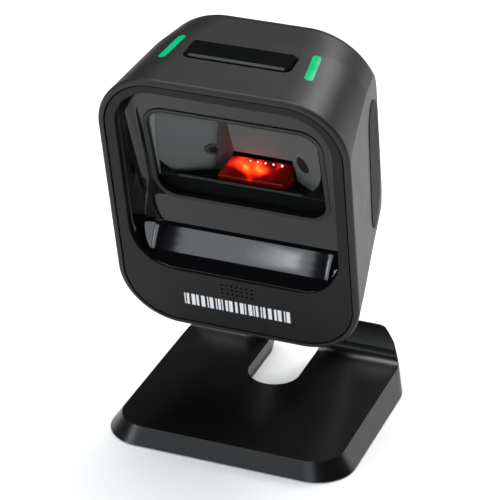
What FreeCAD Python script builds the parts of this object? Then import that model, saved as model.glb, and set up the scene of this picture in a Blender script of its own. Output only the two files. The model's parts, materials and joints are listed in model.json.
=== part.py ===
import FreeCAD, Part
import math
import os

from FreeCAD import Placement, Rotation, Vector

# Hands-free barcode imager on a weighted tilting stand. Millimetres, +Z up, front towards -Y,
# origin on the table under the middle of the stand.

# Stand: plan outlines (half width, front y, rear y, corner radius, height) from the foot upwards.
FOOT_OUTLINE = dict(half=42.8, front=-39.7, rear=33.4, radius=13.5, z=0.5)
PLATE_OUTLINE = dict(half=38.8, front=-36.75, rear=39.0, radius=10.6, z=6.2)
SHOULDER_OUTLINE = dict(half=36.4, front=-36.75, rear=38.5, radius=7.5, z=12.5)
CREST_OUTLINE = dict(half=32.7, front=-36.75, rear=37.7, radius=4.5, z=18.0)
PLATE_WALL = 1.8            # thickness of the stand's moulded skin
SKIRT = 2.2                 # the same at its drafted sides
SLOT_HALF = 9.0             # half width of the cable slot between the arms
SLOT_CENTRE_Y = 12.35       # centre of the slot's round end
SHOULDER_Y = 29.5           # where the plate starts to curl up into the shoulder
COVE_RADIUS = 4.1
SHOULDER_RUN = 3.4          # the slanted face above the cove: how far it goes back
SHOULDER_TOP = 16.8
COVER_THICKNESS = 1.3
COVER_GAP = 0.2
BALLAST_INSET = 6.2
BOSS_RADIUS = 2.9
FOOT_RADIUS = 4.5
FOOT_HEIGHT = 1.0
FOOT_SINK = 0.5             # depth of a foot's seat in the cover
INSERT_SPACING = 56.0       # counter mounting inserts under the stand
INSERT_BORE = 1.5
INSERT_RADIUS = 2.4
LABEL_HALF = (16.0, 9.0)
LABEL_CENTRE_Y = -14.0
LABEL_THICKNESS = 0.2

# Self-tapping screws, one size throughout.
SCREW_SHANK = 1.2
SCREW_HEAD = 2.4
HEAD_CLEARANCE = 0.2
COVER_SCREW_SEAT = 0.6      # above the cover's underside
RECESS_HALF = 1.3           # arms of the cross recess: half length, half width and depth
RECESS_WIDTH = 0.25
RECESS_DEPTH = 0.35
SHANK_CLEARANCE = 0.15
THREAD_CLEARANCE = 0.02

# Tilt hinge between the two arms.
PIVOT = (15.75, 43.5)       # y and z of the hinge axis
ARM_INNER = 9.3             # x of an arm's inner face
ARM_OUTER = 18.5
BARREL_RADIUS = 7.5
AXLE_RADIUS = 2.5
AXLE_CLEARANCE = 0.05
CAP_RADIUS = 4.6
CAP_THICKNESS = 1.4
WASHER_RADIUS = 6.5
WASHER_THICKNESS = 0.5
LUG_HALF = ARM_INNER - 0.3 - WASHER_THICKNESS
LUG_RADIUS = 7.0

# Head: built upright in its own frame (x across, y back, z up from the face's lower edge), then leaned.
HEAD_LEAN = 12.0            # degrees that the face looks down
HEAD_FOOT = (-18.56, 36.7)  # y and z of the face's lower edge
FRONT = dict(back=0.0, lean=0.0, half=41.5, low=0.0, high=98.0, r_low=20.0, r_high=20.3)
SEAM = dict(back=22.0, lean=5.2, half=39.1, low=6.5, high=96.5, r_low=26.0, r_high=22.5)
REAR = dict(back=46.8, lean=0.0, half=36.4, low=14.2, high=94.8, r_low=24.2, r_high=24.7)
CHEEK = (41.6, 0.158)       # half width at the face of the two flat cheeks, and how fast they close in
UNDERSIDE_SLOPE = 17.4      # degrees that the rear half of the underside climbs
WALL = 2.6
RIM_ROUND = 1.0
REAR_ROUND = 6.5
REAR_SCREW = (20.5, 22.5)   # x and height of the two rear cover screws
REAR_SCREW_SEAT = 41.0      # depth at which their heads stop
POST_RADIUS = 3.2

# Face: bezel, recess and window.
RIM_WIDTH = 2.05
BEZEL_GAP = 0.4
BEZEL_FRONT = 0.15
BEZEL_BACK = 2.8
MOUTH = dict(back=BEZEL_BACK, lean=0.0, half=35.5, low=23.2, high=92.7, r_low=15.0, r_high=14.0)
LINING_WALL = 1.5
WINDOW_LEAN = -6.6          # the window looks further down than the face
WINDOW_BACK = 16.8          # where the window plane meets the level of the face's lower edge
RECESS_FLOOR = dict(back=WINDOW_BACK, lean=WINDOW_LEAN, half=31.0, low=33.0, high=83.6,
                    r_low=8.0, r_high=9.0)
APERTURE = dict(back=WINDOW_BACK, lean=WINDOW_LEAN, half=30.0, low=43.9, high=82.6,
                r_low=8.0, r_high=8.0)
GASKET_WIDTH = 1.5
GASKET_DEPTH = 2.4
GLASS_THICKNESS = 2.0
SILL_RADIUS = 9.5           # rounded sill under the window
GRILLE_COLUMNS, GRILLE_ROWS = 7, 3
GRILLE_PITCH = 1.7
GRILLE_HOLE = 0.4
GRILLE_HEIGHT = 18.8        # height of the grille's middle row

# Trigger and light bars on the sloping top.
TOP_SLOPE = 3.7             # degrees that the top falls towards the rear
TRIGGER = dict(half=17.4, front=15.9, rear=25.0)
TRIGGER_CORNER = 1.9
TRIGGER_GAP = 0.4
TRIGGER_PROUD = 1.1
TRIGGER_CHAMFER = 0.6
TRIGGER_FLANGE = 1.4        # how far the hidden flange reaches past the cap
TRIGGER_TRAVEL = 0.8
BAR_WIDTH = 2.7
BAR_LENGTH = 14.2
BAR_DEPTH = 8.4
BAR_SPLAY = 7.5
BAR_MIDDLE = (23.2, 21.4)   # x and y of a light bar's middle
BOARD_LEVEL = -9.6          # upper face of the indicator board below the top
SWITCH_TOP = -6.2

# Inside the head.
CHASSIS_FRONT = dict(back=WINDOW_BACK + 2.7, lean=WINDOW_LEAN, half=31.6, low=40.5, high=84.4,
                     r_low=6.0, r_high=9.0)
CHASSIS_REAR = dict(back=30.5, lean=0.0, half=24.0, low=44.0, high=80.5, r_low=5.0, r_high=5.0)
CHASSIS_WALL = 1.4
LENS_CENTRE = (-10.8, 61.8)
ILLUMINATOR = dict(left=-8.5, right=14.5, front=14.6, back=20.6, low=44.6, high=54.8)
DECODER = dict(half=22.0, front=32.6, back=34.2, low=28.5, high=82.0)
SOCKET = dict(half=7.7, low=26.0, high=39.0, front=DECODER["back"] + 0.1, rear=46.6)
SOCKET_MOUTH = (6.1, 4.0)   # half width and half height
SOCKET_DEPTH = 10.0
SPEAKER = dict(half=9.0, front=4.2, back=8.2, low=9.5, high=20.6)


def box(x0, x1, y0, y1, z0, z1):
    return Part.makeBox(x1 - x0, y1 - y0, z1 - z0, Vector(x0, y0, z0))


def rod(radius, start, end):
    along = Vector(*end) - Vector(*start)
    return Part.makeCylinder(radius, along.Length, Vector(*start), along)


def tube(outer, inner, start, end):
    return rod(outer, start, end).cut(rod(inner, start, end))


def fuse(shapes):
    return shapes[0].multiFuse(shapes[1:]).removeSplitter()


def mirrored(shape):
    return shape.mirror(Vector(0, 0, 0), Vector(1, 0, 0))


def pair(shape):
    """A shape and its mirror image across the middle, as two solids."""
    return Part.makeCompound([shape, mirrored(shape)])


def turned(shape, degrees, origin=(0, 0, 0)):
    """Turn about +X, then move to origin."""
    return shape.transformed(Placement(Vector(*origin), Rotation(Vector(1, 0, 0), degrees)).toMatrix())


def across(face, x0, x1):
    return face.translated(Vector(x0, 0, 0)).extrude(Vector(x1 - x0, 0, 0))


def round_edges(solid, radius, chosen):
    return solid.makeFillet(radius, [edge for edge in solid.Edges if chosen(edge.BoundBox)])


def loft(start, end):
    return Part.makeLoft([start, end], True, True)


def rounded_wire(half, low, high, r_low, r_high):
    """Round-cornered outline in the XZ plane, each corner an arc."""
    corners = [(half - r_low, low + r_low, r_low, -90), (half - r_high, high - r_high, r_high, 0),
               (r_high - half, high - r_high, r_high, 90), (r_low - half, low + r_low, r_low, 180)]

    def point(corner, turn):
        x, z, radius, start = corner
        angle = math.radians(start + turn)
        return Vector(x + radius * math.cos(angle), 0, z + radius * math.sin(angle))

    edges = []
    for corner, following in zip(corners, corners[1:] + corners[:1]):
        edges.append(Part.Arc(point(corner, 0), point(corner, 45), point(corner, 90)).toShape())
        edges.append(Part.LineSegment(point(corner, 90), point(following, 0)).toShape())
    return Part.Wire(edges)


def section(spec, inset=0.0, shift=0.0):
    """Outline of a head section, inset all round and moved back by shift."""
    wire = rounded_wire(spec["half"] - inset, spec["low"] + inset, spec["high"] - inset,
                        spec["r_low"] - inset, spec["r_high"] - inset)
    return turned(wire, -spec["lean"], (0, spec["back"] + shift, 0))


def prism(spec, inset, start, end):
    """Straight block with a head section's outline, from start to end behind the section's plane."""
    return loft(section(spec, inset, start), section(spec, inset, end))


def on_head(shape):
    return turned(shape, HEAD_LEAN, (0, *HEAD_FOOT))


def on_top(shape):
    """Place a shape drawn with z = 0 at the head's top face, whose front edge is at y = 0."""
    return turned(shape, -TOP_SLOPE, (0, 0, FRONT["high"]))


# Stand

def plan_wire(outline, inset, z):
    """Horizontal round-cornered outline at height z."""
    wire = rounded_wire(outline["half"] - inset, -outline["rear"] + inset, -outline["front"] - inset,
                        outline["radius"] - inset, outline["radius"] - inset)
    return turned(wire, 90, (0, 0, z))


def plan_block(inset, foot):
    """Drafted block of the stand's outlines, from height foot to above the shoulder."""
    wires = [plan_wire(FOOT_OUTLINE, inset, foot)]
    wires += [plan_wire(outline, inset, outline["z"])
              for outline in (PLATE_OUTLINE, SHOULDER_OUTLINE, CREST_OUTLINE)]
    lower, *upper = [loft(low, high) for low, high in zip(wires, wires[1:])]
    return lower.multiFuse(upper)


def profile_face(start, *curves):
    """Closed face in the YZ plane; a curve is a list of points, and a spline where it has more than one."""
    here = Vector(0, *start)
    edges = []
    for curve in list(curves) + [[start]]:
        points = [here] + [Vector(0, *point) for point in curve]
        if len(points) == 2:
            edges.append(Part.LineSegment(*points).toShape())
        else:
            spline = Part.BSplineCurve()
            spline.interpolate(points)
            edges.append(spline.toShape())
        here = points[-1]
    return Part.Face(Part.Wire(edges))


def side_face(drop):
    """Side view of the plate and shoulder; drop lowers its upper surface for the hollow inside."""
    plate = PLATE_OUTLINE["z"] - drop
    crest = SHOULDER_TOP - drop
    y = SHOULDER_Y + drop
    cove = [(y + COVE_RADIUS * math.sin(turn), plate + COVE_RADIUS * (1 - math.cos(turn)))
            for turn in (math.radians(step) for step in (22.5, 45, 67.5, 90))]
    return profile_face((-50, -1), [(-50, plate)], [(y, plate)], cove,
                        [(y + COVE_RADIUS + SHOULDER_RUN, crest)], [(50, crest)], [(50, -1)])


def near(dy, dz):
    """A point of the side view, measured from the hinge axis."""
    return (PIVOT[0] + dy, PIVOT[1] + dz)


def arm_face():
    """Side view of one arm: it rises from the shoulder's cove and leans forward to the hinge barrel."""
    return profile_face(near(-3.5, -5.9),
                        [near(5.8, -10.3), near(11.4, -16.5), near(14.9, -23.5), near(16.9, -29.0),
                         near(17.85, -33.2)],
                        [near(17.85, -41)], [near(22.6, -41)],
                        [near(22.4, -27), near(19.5, -14.5), near(13.0, -3.8), near(5.2, 5.0)])


def slot(margin, low, high):
    half = SLOT_HALF + margin
    return rod(half, (0, SLOT_CENTRE_Y, low), (0, SLOT_CENTRE_Y, high)).fuse(
        box(-half, half, SLOT_CENTRE_Y, 60, low, high))


def four_points(dx, front, rear):
    return [(side * dx, y) for side in (-1, 1) for y in (front, rear)]


FOOT_POINTS = four_points(30.0, -29.5, 21.0)
COVER_SCREW_POINTS = four_points(21.0, -29.5, 21.0)
INSERT_POINTS = [(-INSERT_SPACING / 2, 0), (INSERT_SPACING / 2, 0)]
COVER_FLOOR = FOOT_OUTLINE["z"]
COVER_TOP = COVER_FLOOR + COVER_THICKNESS
PLATE_CEILING = PLATE_OUTLINE["z"] - PLATE_WALL


def columns(points, radius, low, high):
    return Part.makeCompound([rod(radius, (x, y, low), (x, y, high)) for x, y in points])


def arm():
    """Right arm with its barrel, solid."""
    y, z = PIVOT
    blade = round_edges(across(arm_face(), ARM_INNER, ARM_OUTER), 1.5,
                        lambda b: b.XMin > ARM_OUTER - 0.01 and b.ZLength > 20)
    barrel = round_edges(rod(BARREL_RADIUS, (ARM_INNER, y, z), (ARM_OUTER, y, z)), 1.5,
                         lambda b: b.XMin > ARM_OUTER - 0.01)
    return blade.fuse(barrel).cut(box(-50, 50, -50, 50, -50, PLATE_CEILING))


def axle_bores():
    """Through bore of the right arm with the seat of its cap."""
    y, z = PIVOT
    seat = rod(CAP_RADIUS + 0.1, (ARM_OUTER - CAP_THICKNESS, y, z), (ARM_OUTER + 1, y, z))
    return rod(AXLE_RADIUS, (0, y, z), (ARM_OUTER + 1, y, z)).fuse(seat)


def stand_shell():
    outer = plan_block(0.0, COVER_FLOOR).common(across(side_face(0.0), -50, 50))
    inner = plan_block(SKIRT, -0.5).common(across(side_face(PLATE_WALL), -50, 50))
    inner = inner.cut(slot(PLATE_WALL, COVER_TOP + COVER_GAP, 60))
    shell = outer.fuse(pair(arm())).cut(inner)
    shell = shell.fuse(columns(COVER_SCREW_POINTS, BOSS_RADIUS, COVER_TOP + COVER_GAP, PLATE_CEILING + 0.2))
    shell = shell.cut(columns(COVER_SCREW_POINTS, SCREW_SHANK, 0, PLATE_CEILING + 0.6))
    return shell.cut(slot(0.0, -1, 60)).cut(pair(axle_bores())).removeSplitter()


def bottom_cover():
    cover = plan_block(SKIRT + COVER_GAP, -0.5).common(box(-60, 60, -60, 60, COVER_FLOOR, COVER_TOP))
    cover = cover.cut(slot(0.0, -1, 9))
    cover = cover.cut(columns(FOOT_POINTS, FOOT_RADIUS + 0.1, 0, COVER_FLOOR + FOOT_SINK))
    cover = cover.cut(columns(COVER_SCREW_POINTS, SCREW_HEAD + HEAD_CLEARANCE,
                              0, COVER_FLOOR + COVER_SCREW_SEAT))
    cover = cover.cut(columns(COVER_SCREW_POINTS, SCREW_SHANK + SHANK_CLEARANCE, 0, 9))
    cover = cover.cut(columns(INSERT_POINTS, INSERT_RADIUS, 0, 9))
    half_x, half_y = LABEL_HALF
    return cover.cut(box(-half_x, half_x, LABEL_CENTRE_Y - half_y, LABEL_CENTRE_Y + half_y,
                         0, COVER_FLOOR + LABEL_THICKNESS))


def ballast_plate():
    plate = loft(plan_wire(FOOT_OUTLINE, BALLAST_INSET, COVER_TOP + 0.05),
                 plan_wire(FOOT_OUTLINE, BALLAST_INSET, PLATE_CEILING - 0.15))
    plate = plate.cut(slot(PLATE_WALL + 0.8, -1, 9)).cut(box(-60, 60, SHOULDER_Y - 6.5, 60, -1, 9))
    plate = plate.cut(columns(COVER_SCREW_POINTS, BOSS_RADIUS + 0.4, 0, 9))
    return plate.cut(columns(INSERT_POINTS, INSERT_RADIUS, 0, 9))


def rubber_feet():
    return Part.makeCompound([round_edges(rod(FOOT_RADIUS, (x, y, 0), (x, y, FOOT_HEIGHT)), 0.3,
                                          lambda b: b.ZMax < 0.01) for x, y in FOOT_POINTS])


def screw(length, head):
    """Cross-recess pan screw along +Z with its head's seat at z = 0."""
    cross = [box(-x, x, -y, y, -head - 1, RECESS_DEPTH - head)
             for x, y in ((RECESS_HALF, RECESS_WIDTH), (RECESS_WIDTH, RECESS_HALF))]
    pan = rod(SCREW_HEAD, (0, 0, -head), (0, 0, 0)).cut(fuse(cross))
    return pan.fuse(rod(SCREW_SHANK - THREAD_CLEARANCE, (0, 0, 0), (0, 0, length)))


def cover_screws():
    seat = COVER_FLOOR + COVER_SCREW_SEAT
    return Part.makeCompound([screw(PLATE_CEILING - seat + 0.3, 0.55).translated(Vector(x, y, seat))
                              for x, y in COVER_SCREW_POINTS])


def mount_inserts():
    low, high = COVER_FLOOR + 0.1, PLATE_CEILING - 0.2
    return columns(INSERT_POINTS, INSERT_RADIUS, low, high).cut(columns(INSERT_POINTS, INSERT_BORE, 0, 9))


def label_plate():
    half_x, half_y = (half - 0.2 for half in LABEL_HALF)
    return box(-half_x, half_x, LABEL_CENTRE_Y - half_y, LABEL_CENTRE_Y + half_y,
               COVER_FLOOR + 0.05, COVER_FLOOR + LABEL_THICKNESS)


def tilt_axle():
    y, z = PIVOT
    reach = ARM_OUTER - CAP_THICKNESS - 0.2
    return rod(AXLE_RADIUS, (-reach, y, z), (reach, y, z))


def axle_caps():
    y, z = PIVOT
    cap = rod(CAP_RADIUS, (ARM_OUTER - CAP_THICKNESS, y, z), (ARM_OUTER + 0.1, y, z))
    return pair(round_edges(cap, 0.4, lambda b: b.XMin > ARM_OUTER))


# Head shells

def between_cheeks(form, inset=0.0):
    """What of a form lies between the two flat cheeks, which close in towards the rear."""
    half, taper = CHEEK[0] - inset, CHEEK[1]
    front, rear = half + 5 * taper, half - 60 * taper
    corners = [Vector(-front, -5, 0), Vector(front, -5, 0), Vector(rear, 60, 0), Vector(-rear, 60, 0)]
    return form.common(Part.Face(Part.makePolygon(corners + corners[:1])).extrude(Vector(0, 0, 120)))


def front_form(inset):
    return between_cheeks(loft(section(FRONT, inset), section(SEAM, inset)), inset)


def rear_form(inset):
    form = loft(section(SEAM, inset), section(REAR, inset, -inset))
    form = round_edges(form, REAR_ROUND - inset, lambda b: b.YMin > REAR["back"] - inset - 0.01)
    return between_cheeks(form, inset)


def rear_screw_line(radius, start, end):
    x, z = REAR_SCREW
    return pair(rod(radius, (x, start, z), (x, end, z)))


def head_housing():
    outer = round_edges(loft(section(FRONT), section(SEAM)), RIM_ROUND, lambda b: b.YMax < 0.01)
    outer = between_cheeks(outer)
    shell = outer.cut(front_form(WALL)).cut(prism(FRONT, RIM_WIDTH, -1, BEZEL_BACK + 0.05))
    x, z = REAR_SCREW
    rib = box(x - 1.1, x + 1.1, 16.0, 26.0, 0, z).fuse(rod(POST_RADIUS, (x, 16.0, z), (x, 26.0, z)))
    shell = shell.fuse(pair(rib.common(front_form(1.0))).cut(prism(SEAM, -9.0, -0.6, 9)))
    shell = shell.cut(rear_screw_line(SCREW_SHANK, 14, 60))
    shell = shell.cut(on_top(trigger_block(TRIGGER_GAP, -6, 6)))
    return shell.cut(pair(light_bar(0.08, 7.0)))


def rear_cover():
    hollow = rear_form(WALL)
    lip = between_cheeks(prism(SEAM, WALL + 0.15, -2.2, 3.5), WALL + 0.5)
    lip = lip.cut(between_cheeks(prism(SEAM, WALL + 1.3, -3, 4), WALL + 1.7))
    lip = lip.cut(box(-60, 60, 0, 60, -20, 30)).common(fuse([hollow, prism(SEAM, WALL, -3, 0)]))
    cover = rear_form(0.0).cut(hollow).fuse(lip)
    cover = cover.fuse(rear_screw_line(POST_RADIUS, 26.4, REAR["back"] - 1))
    cover = cover.cut(rear_screw_line(SCREW_HEAD + HEAD_CLEARANCE, REAR_SCREW_SEAT, 60))
    cover = cover.cut(rear_screw_line(SCREW_SHANK + SHANK_CLEARANCE, 14, 60))
    cover = cover.cut(on_underside(knuckle_screw_line(SCREW_SHANK + SHANK_CLEARANCE, -1, 8)))
    half = SOCKET["half"] + 0.3
    return cover.cut(box(-half, half, 40, 60, SOCKET["low"] - 0.3, SOCKET["high"] + 0.3))


def rear_screws():
    x, z = REAR_SCREW
    return pair(turned(screw(22.0, 1.6), 90, (x, REAR_SCREW_SEAT, z)))


def grille_holes():
    xs = [(column - (GRILLE_COLUMNS - 1) / 2) * GRILLE_PITCH for column in range(GRILLE_COLUMNS)]
    zs = [GRILLE_HEIGHT + (row - (GRILLE_ROWS - 1) / 2) * GRILLE_PITCH for row in range(GRILLE_ROWS)]
    return Part.makeCompound([rod(GRILLE_HOLE, (x, -1, z), (x, 5, z)) for x in xs for z in zs])


def front_bezel():
    plate = prism(FRONT, RIM_WIDTH + BEZEL_GAP, BEZEL_FRONT, BEZEL_BACK).cut(prism(MOUTH, 0.0, -5, 5))
    plate = round_edges(plate, 0.35, lambda b: b.YMax < BEZEL_FRONT + 0.01)
    return plate.cut(grille_holes())


def sill():
    """Rounded sill from the mouth's lower edge up to the foot of the window."""
    front, low = MOUTH["back"], MOUTH["low"] + 0.3
    back, top = front + SILL_RADIUS, low + SILL_RADIUS
    reach = SILL_RADIUS * math.sin(math.radians(45))
    middle = Vector(0, back - reach, low + reach)
    arc = Part.Arc(Vector(0, front, low), middle, Vector(0, back, top)).toShape()
    corners = [Vector(0, back, top), Vector(0, back + 2.1, top), Vector(0, back + 2.1, low - 1),
               Vector(0, front, low - 1), Vector(0, front, low)]
    sides = [Part.LineSegment(a, b).toShape() for a, b in zip(corners, corners[1:])]
    return across(Part.Face(Part.Wire([arc] + sides)), -45, 45)


def recess_lining():
    outer = loft(section(MOUTH, -LINING_WALL, 0.05), section(RECESS_FLOOR, -LINING_WALL, LINING_WALL))
    void = loft(section(MOUTH), section(RECESS_FLOOR))
    flange = prism(MOUTH, -1.6, 0.05, 1.2).cut(prism(MOUTH, 0.0, -1, 4))
    lining = fuse([outer.cut(void), flange, sill().common(outer)])
    return lining.cut(prism(APERTURE, 0.0, -4, 4))


def window_gasket():
    return prism(APERTURE, 0.1, -0.2, GASKET_DEPTH).cut(prism(APERTURE, GASKET_WIDTH, -4, 8))


def scan_window():
    return prism(APERTURE, GASKET_WIDTH + 0.05, 0.1, 0.1 + GLASS_THICKNESS)


# Optics

def optics_chassis():
    outer = loft(section(CHASSIS_FRONT), section(CHASSIS_REAR))
    hollow = loft(section(CHASSIS_FRONT, CHASSIS_WALL), section(CHASSIS_REAR, CHASSIS_WALL, -CHASSIS_WALL))
    return outer.cut(hollow.fuse(prism(CHASSIS_FRONT, CHASSIS_WALL, -1, 0.2)))


def fold_mirror():
    return turned(box(-3.0, 20.5, 0, 1.2, 0, 19.0), 24.0, (0, 26.2, 59.5))


def camera_module():
    x, z = LENS_CENTRE
    body = box(x - 6.2, x + 6.3, 22.0, 28.9, z - 6.3, z + 6.2)
    return body.fuse(rod(4.6, (x, 17.6, z), (x, 22.0, z))).cut(rod(3.6, (x, 17.0, z), (x, 20.4, z)))


def camera_lens():
    x, z = LENS_CENTRE
    return Part.makeSphere(6.0, Vector(x, 24.2, z)).common(rod(3.6, (x, 17.0, z), (x, 20.4, z)))


def illumination_lens():
    spec = ILLUMINATOR
    block = box(spec["left"], spec["right"], spec["front"], spec["back"], spec["low"], spec["high"])
    front_edges = [edge for edge in block.Edges if edge.BoundBox.YMax < spec["front"] + 0.01]
    return block.makeChamfer(0.8, front_edges)


def illumination_board():
    spec = ILLUMINATOR
    board = box(spec["left"] - 3, spec["right"] + 3, spec["back"] + 1.0, spec["back"] + 2.2,
                spec["low"] + 1.6, spec["high"] + 0.4)
    lamp = box(0, 2.4, spec["back"] + 0.1, spec["back"] + 1.0, 48.5, 50.9)
    lamps = [lamp.translated(Vector(x, 0, 0)) for x in (-5.8, -0.4, 5.0, 10.4)]
    return fuse([board] + lamps)


def aimer_module():
    return box(18.6, 23.4, 20.0, 25.0, 52.0, 58.0).fuse(rod(2.0, (21.0, 18.0, 55.0), (21.0, 20.0, 55.0)))


# Electronics

def decoder_board():
    spec = DECODER
    board = box(-spec["half"], spec["half"], spec["front"], spec["back"], spec["low"], spec["high"])
    chips = [(-14, 56, 12, 12, 1.4), (4, 58, 8, 8, 1.0), (-16, 44, 7, 6, 1.2), (2, 72, 14, 6, 0.8)]
    return fuse([board] + [box(x, x + width, spec["back"], spec["back"] + height, z, z + tall)
                           for x, z, width, tall, height in chips])


def socket_level():
    return (SOCKET["low"] + SOCKET["high"]) / 2


def io_socket():
    spec = SOCKET
    half_x, half_z = SOCKET_MOUTH
    floor, z = spec["rear"] - SOCKET_DEPTH, socket_level()
    body = box(-spec["half"], spec["half"], spec["front"], spec["rear"], spec["low"], spec["high"])
    body = body.cut(box(-half_x, half_x, floor, 60, z - half_z, z + half_z))
    return body.cut(box(-3.0, 3.0, floor, 60, z - half_z - 1.4, z))


def socket_contacts():
    top, rear = socket_level() + SOCKET_MOUTH[1], SOCKET["rear"]
    contact = box(-0.2, 0.2, rear - 8.5, rear - 2.0, top - 0.7, top)
    return Part.makeCompound([contact.translated(Vector((pin - 4.5) * 1.05, 0, 0)) for pin in range(10)])


def speaker():
    spec = SPEAKER
    z = (spec["low"] + spec["high"]) / 2
    body = box(-spec["half"], spec["half"], spec["front"], spec["back"], spec["low"], spec["high"])
    cone = rod(2.2, (0, spec["front"] + 0.2, z), (0, spec["front"] + 1.0, z))
    return body.cut(rod(4.4, (0, spec["front"] - 1, z), (0, spec["front"] + 0.7, z))).fuse(cone)


def speaker_gasket():
    spec = SPEAKER
    half, low, high = spec["half"], spec["low"], spec["high"]
    outer = box(-half, half, BEZEL_BACK + 0.15, spec["front"] - 0.05, low, high + 0.9)
    return outer.cut(box(1.6 - half, half - 1.6, 0, 9, low + 1.6, high + 0.3))


def indicator_board():
    board = box(-27.5, 27.5, 14.0, 29.0, BOARD_LEVEL - 1.2, BOARD_LEVEL)
    lamp = box(-1.0, 1.0, 0, 2.0, BOARD_LEVEL, BOARD_LEVEL + 0.8)
    lamps = [lamp.translated(Vector(side * BAR_MIDDLE[0], y, 0)) for side in (-1, 1) for y in (17.0, 24.0)]
    return on_top(fuse([board] + lamps))


def trigger_middle():
    return (TRIGGER["front"] + TRIGGER["rear"]) / 2


def trigger_switch():
    y = trigger_middle()
    body = box(-3, 3, y - 3, y + 3, BOARD_LEVEL, SWITCH_TOP - 0.5)
    return on_top(body.fuse(rod(1.6, (0, y, SWITCH_TOP - 0.6), (0, y, SWITCH_TOP))))


def trigger_block(grow, low, high):
    """Round-cornered bar in the top face's own frame, widest along x."""
    spec = TRIGGER
    corner = TRIGGER_CORNER + grow
    wire = rounded_wire(spec["half"] + grow, -spec["rear"] - grow, -spec["front"] + grow, corner, corner)
    return Part.Face(turned(wire, 90, (0, 0, low))).extrude(Vector(0, 0, high - low))


def trigger_button():
    cap = trigger_block(0.0, -WALL - 0.9, TRIGGER_PROUD)
    upper = [edge for edge in cap.Edges if edge.BoundBox.ZMin > TRIGGER_PROUD - 0.01]
    cap = cap.makeChamfer(TRIGGER_CHAMFER, upper)
    flange = trigger_block(TRIGGER_FLANGE, -WALL - 1.5, -WALL - 0.4)
    y = trigger_middle()
    stem = rod(1.8, (0, y, SWITCH_TOP + TRIGGER_TRAVEL + 0.3), (0, y, -WALL - 1.0))
    return on_top(fuse([cap, flange, stem]))


def light_bar(grow, depth):
    """Right upright bar with round ends that pierces the top."""
    half = BAR_WIDTH / 2 + grow
    reach = (BAR_LENGTH - BAR_WIDTH) / 2
    ends = [rod(half, (0, y, -depth), (0, y, 6)) for y in (-reach, reach)]
    shape = fuse(ends + [box(-half, half, -reach, reach, -depth, 6)])
    splay = Placement(Vector(*BAR_MIDDLE, 0), Rotation(Vector(0, 0, 1), BAR_SPLAY))
    return on_top(shape.transformed(splay.toMatrix()))


def light_pipe_right():
    return light_bar(0.0, BAR_DEPTH).common(front_form(0.0))


def light_pipe_left():
    return mirrored(light_pipe_right())


# Hinge knuckle under the rear cover

def to_head(y, z):
    """A point of the stand's side view, given in the head's own frame."""
    lean = math.radians(HEAD_LEAN)
    dy, dz = y - HEAD_FOOT[0], z - HEAD_FOOT[1]
    return dy * math.cos(lean) + dz * math.sin(lean), dz * math.cos(lean) - dy * math.sin(lean)


def underside_start():
    """y and z where the seam meets the underside."""
    return SEAM["back"] + SEAM["low"] * math.sin(math.radians(SEAM["lean"])), SEAM["low"]


def on_underside(shape):
    """Place a shape drawn with y along the underside from the seam and z square to it, upwards."""
    return turned(shape, UNDERSIDE_SLOPE, (0, *underside_start()))


def pivot_on_underside():
    """How far the hinge axis lies along the underside, and how far below it."""
    y, z = to_head(*PIVOT)
    y0, z0 = underside_start()
    slope = math.radians(UNDERSIDE_SLOPE)
    dy, dz = y - y0, z - z0
    return dy * math.cos(slope) + dz * math.sin(slope), dy * math.sin(slope) - dz * math.cos(slope)


def knuckle_screw_line(radius, low, high):
    run = pivot_on_underside()[0]
    return pair(rod(radius, (5.0, run, low), (5.0, run, high)))


def hinge_knuckle():
    """Lug on a pad that is screwed to the underside of the rear cover."""
    run, drop = pivot_on_underside()
    pad = box(-LUG_HALF, LUG_HALF, run - 8.5, run + 8.5, -2.6, -0.05)
    web = box(-LUG_HALF, LUG_HALF, run - 6.0, run + 6.0, -drop, -1.0)
    lug = fuse([pad, web, rod(LUG_RADIUS, (-LUG_HALF, run, -drop), (LUG_HALF, run, -drop))])
    lug = lug.cut(rod(AXLE_RADIUS + AXLE_CLEARANCE, (-20, run, -drop), (20, run, -drop)))
    return on_underside(lug.cut(knuckle_screw_line(SCREW_SHANK, -6, 1)))


def knuckle_screws():
    run = pivot_on_underside()[0]
    return on_underside(pair(turned(screw(7.6, 1.4), 180, (5.0, run, WALL + 0.5))))


def friction_washers():
    y, z = to_head(*PIVOT)
    return pair(tube(WASHER_RADIUS, AXLE_RADIUS + AXLE_CLEARANCE,
                     (LUG_HALF, y, z), (LUG_HALF + WASHER_THICKNESS, y, z)))


STAND_PARTS = (stand_shell, bottom_cover, ballast_plate, rubber_feet, cover_screws, mount_inserts,
               label_plate, tilt_axle, axle_caps)
HEAD_PARTS = (head_housing, rear_cover, rear_screws, front_bezel, recess_lining, window_gasket,
              scan_window, optics_chassis, fold_mirror, camera_module, camera_lens, illumination_lens,
              illumination_board, aimer_module, decoder_board, io_socket, socket_contacts, speaker,
              speaker_gasket, indicator_board, trigger_switch, trigger_button, light_pipe_left,
              light_pipe_right, hinge_knuckle, knuckle_screws, friction_washers)

os.makedirs("parts", exist_ok=True)
for make in STAND_PARTS:
    make().exportStep("parts/" + make.__name__ + ".step")
for make in HEAD_PARTS:
    on_head(make()).exportStep("parts/" + make.__name__ + ".step")
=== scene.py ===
import json
import math

import bmesh
import bpy
from mathutils import Matrix, Vector


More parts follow.
